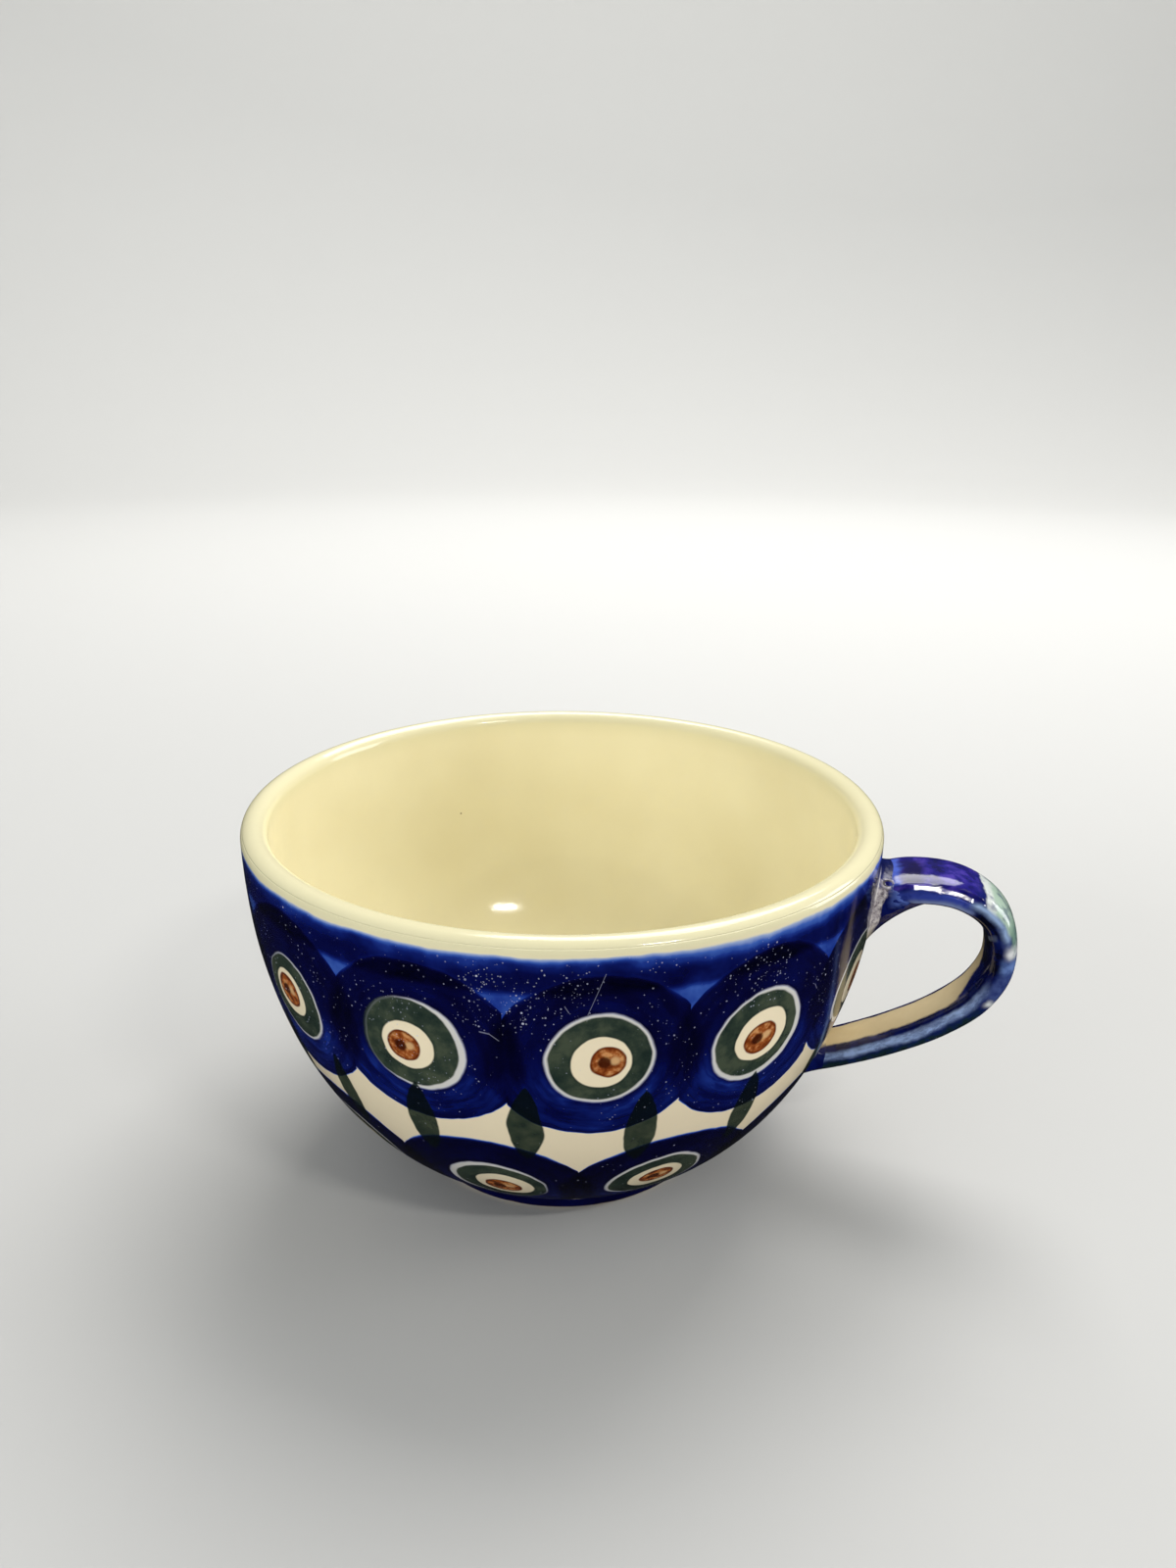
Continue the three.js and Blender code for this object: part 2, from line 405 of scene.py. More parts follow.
def fold_relief(turn, share, point):
    """How far the slip stands up: a wrinkled fold on the front of the root, and a pit above it."""
    front = smooth(0.33, 0.42, turn) * smooth(0.68, 0.60, turn)
    ridge = 0.32 * math.exp(-((share - 0.62 - 1.2 * (turn - 0.5)) / 0.09) ** 2)
    wrinkle = 0.22 * noise.noise(point / MM * 1.1) + 0.12 * noise.noise(point / MM * 2.7)
    pit = 0.55 * smooth(0.85, 0.35, (point - PIT_POINT).length / MM)
    rim = 0.14 * math.exp(-(((point - PIT_POINT).length / MM - 1.0) / 0.25) ** 2)
    return (front * (ridge + wrinkle) + rim - pit) * MM


def make_root(name, at_start, replaced, spread, reach, relief=None):
    """A fillet of slip round one root of the strap.

    It runs reach(turn) up the strap and spread(turn) over the wall, and its two edges sink
    just under both surfaces."""
    steps = 24
    sink = 0.06 * MM
    sign = 1 if at_start else -1
    wall_at = strap.start if at_start else strap.end
    rings = [[] for _ in range(steps + 5)]
    corner_at = wall_at + sign * ROOT_LIFT
    middle, direction = strap.centre(corner_at)
    for j in range(ROOT_SIDES):
        turn = 2 * math.pi * j / ROOT_SIDES
        corner = to_wall(strap.surface(corner_at, turn), direction, 0.0)
        high = strap.surface(corner_at + sign * reach(turn), turn, -sink)
        away = corner - middle
        away -= direction * away.dot(direction)
        away.normalize()
        low = corner + away * spread(turn)
        flat = Vector((low.x - AXIS, low.y, 0)).normalized()
        low = Vector((AXIS, 0, low.z)) + flat * (wall_radius(OUTER, low.z) - sink)
        pull = corner.lerp((high + low) / 2, 0.62 * underside(turn))
        for i in range(steps + 1):
            t = i / steps
            point = high * (1 - t) ** 2 + pull * 2 * t * (1 - t) + low * t ** 2
            if relief:
                outward = (away * (1 - t) + flat * t).normalized()
                ends = smooth(0.0, 0.15, t) * smooth(1.0, 0.9, t)
                point = point + outward * relief(j / ROOT_SIDES, t, point) * ends
            rings[i].append(point)
        # The fillet's back is buried in the wall and in the strap.
        rings[steps + 1].append(low - flat * 0.3 * MM)
        rings[steps + 2].append(corner - flat * 0.3 * MM - away * 0.5 * MM)
        rings[steps + 3].append(corner.lerp(high, 0.6) - away * 0.8 * MM)
        rings[steps + 4].append(high - away * 0.5 * MM)
    vertices = [v for ring in rings for v in ring]
    marks = [(j / ROOT_SIDES, min(i / steps, 1.0))
             for i in range(len(rings)) for j in range(ROOT_SIDES)]
    faces = grid_faces(len(rings), ROOT_SIDES, flip=at_start)
    return new_piece(name, vertices, faces, replaced, "root", marks)


clay_body = make_clay_body()
foot = make_foot()
handle = make_strap()
upper_root = make_root(
    "upper_root", True, "upper_slip_joint",
    lambda turn: (1.8 + 4.6 * underside(turn)) * MM,
    lambda turn: (3.2 + 4.4 * underside(turn)) * MM,
    fold_relief)
lower_root = make_root(
    "lower_root", False, "lower_slip_joint",
    lambda turn: 1.6 * MM,
    lambda turn: 3.4 * MM)


# ---- node writing: numbers and colours that vary over a surface ----
class Field:
    """A number or colour at every point of a surface, held as a node's output socket."""

    def __init__(self, tree, socket):
        self.tree, self.socket = tree, socket


def combine(operation, swapped=False):
    """How a Python sign combines a Field with another, or with a plain number."""
    def method(self, other):
        return maths(operation, other, self) if swapped else maths(operation, self, other)
    return method


for sign, operation in (("add", "ADD"), ("sub", "SUBTRACT"), ("mul", "MULTIPLY"), ("truediv", "DIVIDE")):
    setattr(Field, f"__{sign}__", combine(operation))
    setattr(Field, f"__r{sign}__", combine(operation, swapped=True))
Field.__pow__ = combine("POWER")


def feed(socket, value):
    """Gives a node's input a Field, or a plain number or colour."""
    if isinstance(value, Field):
        value.tree.links.new(value.socket, socket)
    elif isinstance(value, tuple) and len(socket.default_value) == 4:
        socket.default_value = (*value[:3], 1)
    else:
        socket.default_value = value


def tree_of(*values):
    return next(v.tree for v in values if isinstance(v, Field))


def new_node(tree, kind, inputs=(), **settings):
    """A shader node with its settings made, and with its inputs fed by name or number."""
    node = tree.nodes.new("ShaderNode" + kind)
    for name, value in settings.items():
        setattr(node, name, value)
    for name, value in dict(inputs).items():
        feed(node.inputs[name], value)
    return node


def maths(operation, *values):
    tree = tree_of(*values)
    return Field(tree, new_node(tree, "Math", enumerate(values), operation=operation).outputs[0])


def distance(across, down):
    return maths("SQRT", across * across + down * down)


def largest(a, b):
    return maths("MAXIMUM", a, b)


def smallest(a, b):
    return maths("MINIMUM", a, b)


def ease(low, high, value):
    """0 up to low and 1 from high, with a soft step between them. It falls if low is the larger."""
    limits = {"From Min": low, "From Max": high, "Value": value}
    node = new_node(value.tree, "MapRange", limits, interpolation_type="SMOOTHSTEP")
    return Field(value.tree, node.outputs["Result"])


def between(value, low, high, soft):
    """1 where a value lies between two limits, with soft edges."""
    return ease(low - soft, low + soft, value) * ease(high + soft, high - soft, value)


def mix(share, a, b, how="MIX"):
    """Colour a where share is 0 and colour b where it is 1."""
    tree = tree_of(share, a, b)
    node = new_node(tree, "Mix", {0: share, 6: a, 7: b}, data_type="RGBA", blend_type=how)
    return Field(tree, node.outputs[2])


def ramp(value, stops, how="LINEAR"):
    """A colour looked up by a value from 0 to 1 in a list of (value, colour)."""
    node = new_node(value.tree, "ValToRGB", {0: value})
    node.color_ramp.interpolation = how
    elements = node.color_ramp.elements
    while len(elements) < len(stops):
        elements.new(0.5)
    for element, (place, colour) in zip(elements, stops):
        element.position = place
        element.color = (*colour, 1)
    return Field(value.tree, node.outputs["Color"])


def parts(vector):
    node = new_node(vector.tree, "SeparateXYZ", {0: vector})
    return [Field(vector.tree, output) for output in node.outputs]


def vector(x, y, z):
    tree = tree_of(x, y, z)
    return Field(tree, new_node(tree, "CombineXYZ", enumerate((x, y, z))).outputs[0])


def shifted(place, offset):
    shift = (offset, offset * 0.7, offset * 1.3)
    node = new_node(place.tree, "VectorMath", {0: place, 1: shift}, operation="ADD")
    return Field(place.tree, node.outputs[0])


def clouds(place, size, seed, detail=2.0, rough=0.5, colour=False):
    """Noise from 0 to 1 with features of about the size given."""
    node = new_node(place.tree, "TexNoise", {
        "Scale": 1 / size, "Detail": detail, "Roughness": rough,
        "Vector": shifted(place, seed * 3.1 * size)})
    return Field(place.tree, node.outputs["Color" if colour else "Fac"])


def dots(place, spacing, seed):
    """(distance to the nearest of some scattered points, a random colour for that point)."""
    node = new_node(place.tree, "TexVoronoi", {
        "Scale": 1 / spacing, "Vector": shifted(place, seed * 3.1 * spacing)})
    return (Field(place.tree, node.outputs["Distance"]) * spacing,
            parts(Field(place.tree, node.outputs["Color"])))


def tint(red, green, blue):
    """A colour given as 0 to 255 per channel on a screen, as the shader's linear numbers."""
    def linear(value):
        value /= 255
        return value / 12.92 if value <= 0.04045 else ((value + 0.055) / 1.055) ** 2.4
    return linear(red), linear(green), linear(blue)


class Finish:
    """One material: where its surface is, and the shader that it feeds."""

    def __init__(self, name, roughness):
        self.material = bpy.data.materials.new(name)
        self.material.use_nodes = True
        self.tree = self.material.node_tree
        self.shader = self.tree.nodes["Principled BSDF"]
        self.shader.inputs["Roughness"].default_value = roughness
        self.place = Field(self.tree, new_node(self.tree, "TexCoord").outputs["Object"])

    def uv(self, layer):
        node = new_node(self.tree, "UVMap", uv_map=layer)
        return parts(Field(self.tree, node.outputs["UV"]))[:2]

    def bowl_place(self):
        """(degrees round from -Y towards +X, distance from the axis in mm)."""
        x, y, _ = parts(self.place)
        x = x - AXIS
        turn = maths("ARCTAN2", x, y * -1) * (180 / math.pi)
        return turn, distance(x, y) / MM

    def colour(self, value):
        feed(self.shader.inputs["Base Color"], value)

    def roughness(self, value):
        feed(self.shader.inputs["Roughness"], value)

    def bump(self, height, depth):
        """height is from 0 to 1, and depth says how far that is."""
        node = new_node(self.tree, "Bump", {"Distance": depth, "Height": height})
        self.tree.links.new(node.outputs["Normal"], self.shader.inputs["Normal"])


# ---- the painter's colours ----
CREAM_LIP = tint(226, 219, 180)
GROUND = tint(240, 226, 194)
HALO = tint(210, 208, 203)
EYE_WHITE = tint(242, 228, 196)
# Cobalt over the ground, by how much pigment the brush left.
COBALT = [
    (0.00, GROUND),
    (0.08, tint(150, 170, 208)),
    (0.20, tint(60, 96, 180)),
    (0.32, tint(26, 52, 138)),
    (0.45, tint(10, 26, 100)),
    (0.60, tint(4, 10, 70)),
    (0.78, tint(3, 3, 44)),
    (1.00, tint(1, 1, 20)),
]

# ---- the painter's layout: degrees round from -Y towards +X, and mm down the wall ----
UPPER = {"count": 13, "first": 18.2, "down": 16.6, "wide": 15.4, "high": 14.2}
LOWER = {"count": 10, "first": -1.9, "down": 48.8, "wide": 15.9, "high": 14.3}
LEAVES = {"count": 20, "first": 9.0, "top": 22.6, "tip": 39.6, "wide": 2.85}
SLIP_SPREAD = 10.0  # the largest slip or size that can be held
MM_PER_DEGREE = RIM / MM * math.pi / 180  # along the rim


def cell(turn, row):
    """(number of the nearest repeat, degrees from its middle)."""
    pitch = 360 / row["count"]
    number = maths("ROUND", (turn - row["first"]) / pitch)
    off = turn - row["first"] - number * pitch
    return maths("FLOORED_MODULO", number, float(row["count"])), off


def hand_set(number, row, slips):
    """Two offsets and a size for each repeat, from the painter's own list.

    A constant ramp holds each as 0 to 1, where 0.5 is none and the ends are SLIP_SPREAD."""
    count = row["count"]
    share = (number + 0.5) / count
    stops = [(i / count, tuple(0.5 + v / SLIP_SPREAD / 2 for v in slips[i])) for i in range(count)]
    found = parts(ramp(share, stops, "CONSTANT"))
    return [(field - 0.5) * (2 * SLIP_SPREAD) for field in found]


# ---- the painted outside ----
def painters_slips(count, seed, size, drift, known):
    """(across, down, radius) for each repeat: the painter's own where known, else drawn."""
    draw = random.Random(seed)
    slips = []
    for i in range(count):
        slip = (draw.uniform(-drift, drift), draw.uniform(-drift, drift),
                size + draw.uniform(-0.25, 0.25))
        slips.append(known.get(i, slip))
    return slips


UPPER_EYES = {
    "disc": painters_slips(13, 2, 0.0, 0.5, {
        11: (0.0, 0.0, 0.4), 12: (-0.2, -0.3, -0.1), 0: (0.3, 0.0, 0.1), 1: (0.3, 0.7, 0.6)}),
    "hole": painters_slips(13, 3, 8.0, 0.6, {
        11: (-0.15, 0.8, 7.2), 12: (-0.55, -0.15, 7.95), 0: (0.5, -0.15, 7.75),
        1: (-0.4, 0.85, 8.05), 2: (1.6, 2.4, 8.2)}),
    "ring": painters_slips(13, 3, 7.45, 0.6, {
        11: (-0.35, 0.75, 7.0), 12: (-1.3, -0.35, 7.65), 0: (0.5, -0.15, 7.3),
        1: (-0.65, 0.6, 7.35), 2: (1.7, 2.2, 7.6)}),
    "white": painters_slips(13, 5, 4.35, 0.6, {
        11: (-0.8, 0.4, 4.1), 12: (-1.5, 0.05, 4.25), 0: (0.65, 0.3, 4.38),
        1: (0.0, 0.8, 4.6), 2: (1.9, 2.8, 4.5)}),
    "pupil": painters_slips(13, 6, 2.8, 0.9, {
        11: (-1.1, 0.2, 3.0), 12: (-2.2, 0.3, 2.73), 0: (1.65, 0.3, 2.68),
        1: (-0.1, 1.35, 2.85), 2: (2.9, 3.2, 2.8)}),
}
LOWER_EYES = {
    "disc": painters_slips(10, 7, 0.0, 0.3, {0: (0.0, 0.0, 0.2), 1: (0.0, 0.0, -0.5)}),
    "hole": painters_slips(10, 8, 8.0, 0.6, {0: (0.75, -0.2, 7.6), 1: (-0.6, -0.6, 7.75)}),
    "ring": painters_slips(10, 8, 7.4, 0.6, {0: (1.15, 0.2, 7.1), 1: (-0.5, -0.35, 7.3)}),
    "white": painters_slips(10, 9, 4.4, 0.6, {0: (1.75, 0.3, 4.5), 1: (-0.5, -0.6, 4.35)}),
    "pupil": painters_slips(10, 10, 2.8, 0.8, {0: (1.5, 1.0, 2.85), 1: (-0.5, -0.9, 2.75)}),
}
# Each leaf's slip sideways and down, and how much wider it is than the rest.
LEAF_SLIPS = painters_slips(20, 12, 0.0, 1.2, {
    0: (-1.7, -1.4, 0.0), 1: (-0.6, 0.0, -0.25), 2: (1.7, 1.9, -0.5), 3: (5.0, 1.0, -0.4),
    19: (-2.1, 0.6, -0.3), 18: (-1.5, 1.7, -0.7)})


class PaintedDiscs:
    """One row of cobalt discs, each with an eye left open in it."""

    def __init__(self, turn, radius, down, wobble, row, eyes, seed):
        self.number, off = cell(turn, row)
        step = radius * (math.pi / 180)
        self.across = off * step + wobble[0]
        self.down = down + wobble[1] - row["down"]
        self.away = {}
        for part, slips in eyes.items():
            x, y, size = hand_set(self.number, row, slips)
            if part == "disc":
                disc_across, disc_down, taller = self.across - x, self.down - y, size
            else:
                self.away[part] = distance(self.across - x, self.down - y) - size
            if part == "pupil":
                self.pupil_across = self.across - x
                self.pupil_down = self.down - y
        pitch = step * (360 / row["count"])
        height = disc_down / (taller + row["high"])
        self.reach = distance(disc_across / row["wide"], height)
        beside = distance((pitch - maths("ABSOLUTE", self.across)) / row["wide"], height)
        brushed_out = ease(-6.0, -12.0, self.down)
        crisp = ease(1.012, 0.988, self.reach)
        self.own = lerp(crisp, ease(1.03, 0.93, self.reach), brushed_out)
        self.beside = ease(1.05, 0.93, beside)
        # Brush strokes run round the eye.
        from_eye = distance(self.across, self.down) + 0.001
        stroke_place = vector(self.across / from_eye * 1.3, self.down / from_eye * 1.3,
                              from_eye * 0.62 + self.number * 7.3)
        self.stroke = ease(0.33, 0.67, clouds(stroke_place, 1.0, seed, detail=3.0, rough=0.6))
        self.hole = ease(0.30, -0.25, self.away["hole"])
        self.ring = ease(0.20, -0.16, self.away["ring"])
        self.white = ease(0.14, -0.14, self.away["white"])
        self.pupil = ease(0.14, -0.14, self.away["pupil"])

    def cover(self, patch):
        """How much pigment the disc's brush left, outside its eye."""
        below = ease(-3.0, 7.0, self.down)
        dark = 0.74 - below * 0.19
        swept = ease(0.2, 1.0, self.away["hole"]) * ease(3.4, 1.4, self.away["hole"])
        amount = dark + (self.stroke - 0.5) * (0.09 + below * 0.11) - swept * (0.03 + below * 0.06)
        amount = amount + (patch - 0.5) * 0.26
        amount = amount + self.beside * 0.17 + ease(0.93, 1.0, self.reach) * 0.08
        return amount * self.own * (1.0 - self.hole)

    def pupil_colour(self, place):
        """Iron brown, pooled dark at the rim and at the brush's first touch."""
        mottle = clouds(place, 1.3 * MM, 21, detail=2.0, rough=0.6)
        colour = ramp(mottle, [(0.34, tint(112, 50, 16)), (0.50, tint(158, 84, 38)),
                               (0.64, tint(206, 146, 90))])
        pale = ease(1.0, 0.4, distance(self.pupil_across - 1.0, self.pupil_down + 0.2))
        colour = mix(pale * 0.75, colour, tint(224, 184, 130))
        rim = ease(-0.62, -0.22, self.away["pupil"])
        colour = mix(rim * 0.85, colour, tint(96, 34, 8))
        core = ease(1.25, 0.75, distance(self.pupil_across + 0.55, self.pupil_down - 0.05))
        return mix(core * 0.92, colour, tint(60, 18, 4))


def leaves(turn, radius, down, wobble):
    """How far one stroke of leaf green covers."""
    number, off = cell(turn, LEAVES)
    slip, drop, wider = hand_set(number, LEAVES, LEAF_SLIPS)
    across = off * radius * (math.pi / 180) + wobble[0] - slip
    share = (down + wobble[1] - drop - LEAVES["top"]) / (LEAVES["tip"] - LEAVES["top"])
    share = smallest(largest(share, 0.0), 1.0)
    fullness = (share ** 0.8) * ((1.0 - share) ** 0.7) / 0.355
    half = fullness * (wider + LEAVES["wide"]) - 0.2
    return ease(0.16, -0.16, maths("ABSOLUTE", across) - half)


def dust(place, spacing, size, seed, share, crowd):
    """Scattered pale specks. crowd, 0 to 1, says where more of them settle."""
    away, (keep, grow, glow) = dots(place, spacing, seed)
    kept = ease(0.0, 0.02, keep - (1.0 - share * crowd))
    return ease(1.0, 0.5, away / (size * (0.3 + grow * grow))) * kept * (0.3 + glow * 0.7)


# Where dust lies thickest: degrees round, mm down, reach in mm, and how much.
DUST_CROWDS = [
    (3.5, 7.0, 8.0, 0.65),
    (14.5, 5.5, 6.5, 0.65),
    (44.0, 7.0, 8.0, 0.65),
    (22.0, 26.0, 9.0, 0.10),
]

# Scratches in the glaze: (degrees, mm down) at both ends, and width in mm.
SCRATCHES = [
    ((19.2, 2.4), (16.7, 8.6), 0.06),
    ((1.0, 12.0), (2.4, 12.2), 0.14),
    ((2.4, 12.2), (3.8, 13.2), 0.09),
    ((13.4, 7.2), (14.0, 8.2), 0.08),
    ((57.0, 12.5), (57.8, 13.6), 0.08),
]


def scratch(turn, down, start, end, width):
    """One straight scratch, in degrees round and mm down."""
    run, fall = (end[0] - start[0]) * MM_PER_DEGREE, end[1] - start[1]
    length = math.hypot(run, fall)
    run, fall = run / length, fall / length
    across = (turn - start[0]) * MM_PER_DEGREE
    below = down - start[1]
    along = smallest(largest(across * run + below * fall, 0.0), length)
    away = distance(across - along * run, below - along * fall)
    return ease(width, width * 0.4, away)


def outer_paint():
    finish = Finish("cobalt_paint_under_glaze", 0.10)
    place = finish.place
    turn, radius = finish.bowl_place()
    down = finish.uv("paint")[1] * 100
    sway = parts(clouds(place, 8 * MM, 1, colour=True))
    shake = parts(clouds(place, 1.8 * MM, 2, detail=1.0, colour=True))
    wobble = [(sway[i] - 0.5) * 1.2 + (shake[i] - 0.5) * 0.22 for i in (0, 1)]
    patch = clouds(place, 5 * MM, 3, detail=3.0, rough=0.55)

    upper = PaintedDiscs(turn, radius, down, wobble, UPPER, UPPER_EYES, 11)
    lower = PaintedDiscs(turn, radius, down, wobble, LOWER, LOWER_EYES, 12)

    # How much cobalt lies at each point.
    edge_down = down + wobble[1] * 0.8
    lip = ease(-0.4, 1.3, edge_down)
    wash = ease(13.0, 10.0, down) * (0.12 + patch * 0.34)
    band = ease(6.2, 4.8, edge_down) * (0.03 + patch * 0.22 + ease(1.0, 3.0, down) * 0.19)
    band = band * (1.0 - upper.own * 0.35)
    upper_coat = upper.cover(patch)
    lower_coat = lower.cover(patch) * 1.12
    foot_band = ease(61.0, 61.8, edge_down) * 0.74
    pigment = largest(largest(upper_coat, lower_coat), foot_band)
    pigment = largest(pigment, wash * (1.0 - upper.hole)) + band * (1.0 - upper.hole)
    # Under the lip, towards the handle, the band's edge thins to a paler blue.
    thinned = between(turn, 28.0, 66.0, 9.0) * ease(3.4, 0.6, edge_down)
    pigment = pigment * lip * (1.0 - thinned * 0.5)

    # The white ground, a little warmer where the glaze runs thick.
    warm = clouds(place, 22 * MM, 6)
    ground = mix(warm, GROUND, tint(231, 216, 186))
    ground = mix(ease(0.9, -0.7, down), ground, CREAM_LIP)
    stain = ramp(pigment, COBALT)
    colour = mix(ease(0.0, 0.07, pigment), ground, stain)

    # Eyes: a bluish halo, a green ring, a white disc and a brown pupil.
    tone = (0.5 - clouds(place, 16 * MM, 18)) * 0.6 + 0.03
    green = ramp(clouds(place, 3.2 * MM, 14, detail=5.0, rough=0.62) + tone, [
        (0.32, tint(30, 44, 40)), (0.50, tint(47, 59, 50)), (0.66, tint(68, 77, 62))])
    for row in (upper, lower):
        colour = mix(row.hole, colour, HALO)
        over_blue = mix(0.35, green, colour)
        colour = mix(row.ring, colour, mix(row.hole, over_blue, green))
        rim = ease(0.70, 0.10, row.away["white"]) * row.ring
        colour = mix(rim * 0.4, colour, tint(28, 42, 36))
        colour = mix(row.white, colour, EYE_WHITE)
        colour = mix(row.pupil, colour, row.pupil_colour(place))

    # Leaves are brushed across the gaps last, so they darken what is under them.
    leaf = leaves(turn, radius, down, wobble)
    thickness = clouds(place, 2.2 * MM, 17, detail=4.0)
    through = ramp(thickness, [(0.3, (0.020, 0.036, 0.033)), (0.7, (0.060, 0.082, 0.067))])
    darkened = mix(1.0, colour, through, "MULTIPLY")
    colour = mix(leaf, colour, mix(1.0, darkened, tint(6, 14, 16), "ADD"))

    # Dust and scratches on the glaze.
    crowd = ease(0.42, 0.70, clouds(place, 11 * MM, 23, detail=2.0)) * ease(40.0, 10.0, down) * 0.4
    for where, below, wide, amount in DUST_CROWDS:
        near = distance((turn - where) * MM_PER_DEGREE, down - below)
        crowd = crowd + ease(wide, wide * 0.25, near) * amount
    crowd = smallest(crowd + 0.03, 1.0)
    fine = dust(place, 0.36 * MM, 0.15 * MM, 31, 0.70, crowd)
    coarse = dust(place, 0.85 * MM, 0.19 * MM, 32, 0.40, crowd)
    specks = largest(fine * 0.55, coarse * 0.9) * lip
    for start, end, width in SCRATCHES:
        specks = largest(specks, scratch(turn, down, start, end, width) * 0.28)
    colour = mix(specks, colour, tint(200, 204, 224))
    finish.colour(colour)
    finish.roughness(0.085 + clouds(place, 6 * MM, 41) * 0.05 + specks * 0.3)
    skin = clouds(place, 2.2 * MM, 42, detail=2.0) * 0.75 + specks * 0.25
    finish.bump(skin, 0.030 * MM)
    return finish.material


def lining_paint():
    finish = Finish("cream_glaze_lining", 0.10)
    place = finish.place
    along = finish.uv("paint")[1] * 100
    lip = ease(8.5, 4.0, along)
    pool = clouds(place, 18 * MM, 5, detail=2.0)
    inside = ramp(pool, [(0.3, tint(234, 225, 186)), (0.7, tint(240, 232, 195))])
    inside = mix(ease(0.55, 0.75, clouds(place, 3.5 * MM, 8, detail=3.0)) * 0.18,
                 inside, tint(234, 227, 196))
    colour = mix(lip, inside, CREAM_LIP)
    away, (keep, grow, _) = dots(place, 5.0 * MM, 15)
    pit = ease(1.0, 0.5, away / (0.20 * MM * (0.4 + grow))) * ease(0.0, 0.02, keep - 0.93)
    colour = mix(pit * 0.8, colour, tint(120, 96, 66))
    finish.colour(colour)
    finish.roughness(0.08 + clouds(place, 5 * MM, 43) * 0.05)
    skin = clouds(place, 2.4 * MM, 44, detail=2.0) * 0.7 - pit * 0.3
    finish.bump(skin, 0.035 * MM)
    return finish.material


# ---- the handle, its roots, the foot and the bare clay ----
# Touches of the brush on the strap, and one painted shadow: (share of the turn round it), (mm along it),
# softness, colour.
# A quarter turn is the outer face and three quarters the inner face. Where the top's violet
# ends, the touches on the outer face start to run across it at a slant.
SLANT_FROM, SLANT_WITHIN = 18.3, 0.47
TOUCHES = [
    ("wash beside the root", (0.17, 0.40), (5.4, 6.9), 0.5, tint(84, 110, 214)),
    ("dark pool past it", (0.22, 0.40), (7.2, 10.0), 0.9, tint(16, 10, 66)),
    ("blue under the flat", (0.465, 0.53), (6.0, 17.5), 0.9, tint(50, 66, 156)),
    ("pale line along the edge", (0.530, 0.575), (8.0, 18.5), 1.2, tint(132, 150, 200)),
    ("shadow under that line", (0.60, 0.68), (6.0, 18.0), 0.8, tint(14, 16, 34)),
    ("bare gap", (-0.10, 0.46), (18.5, 20.4), 0.3, tint(216, 222, 216)),
    ("thin green", (-0.10, 0.45), (20.0, 24.0), 0.6, tint(172, 195, 176)),
    ("deeper green", (-0.10, 0.43), (23.0, 27.4), 1.0, tint(116, 146, 130)),
    ("light blue beside the green", (0.450, 0.498), (17.6, 26.4), 1.2, tint(154, 180, 218)),
    ("heavy cobalt inside the bend", (0.505, 0.82), (19.0, 33.0), 1.0, tint(5, 6, 20)),
    ("thin patch in it", (0.54, 0.63), (24.9, 26.0), 0.4, tint(104, 114, 126)),
    ("bare spot", (0.20, 0.485), (27.3, 29.0), 1.0, tint(226, 228, 228)),
    ("light blue under the spot", (-0.10, 0.51), (29.6, 32.0), 1.2, tint(104, 132, 190)),
    ("bruised blue", (-0.10, 0.52), (32.0, 37.0), 1.0, tint(66, 82, 136)),
    ("small bare gap", (0.10, 0.485), (37.2, 38.4), 0.7, tint(214, 217, 218)),
    ("dark green stretch", (-0.10, 0.50), (39.2, 70.0), 1.0, tint(20, 40, 42)),
    ("dark line beside the cream", (0.597, 0.68), (28.0, 72.0), 0.9, tint(8, 12, 56)),
]


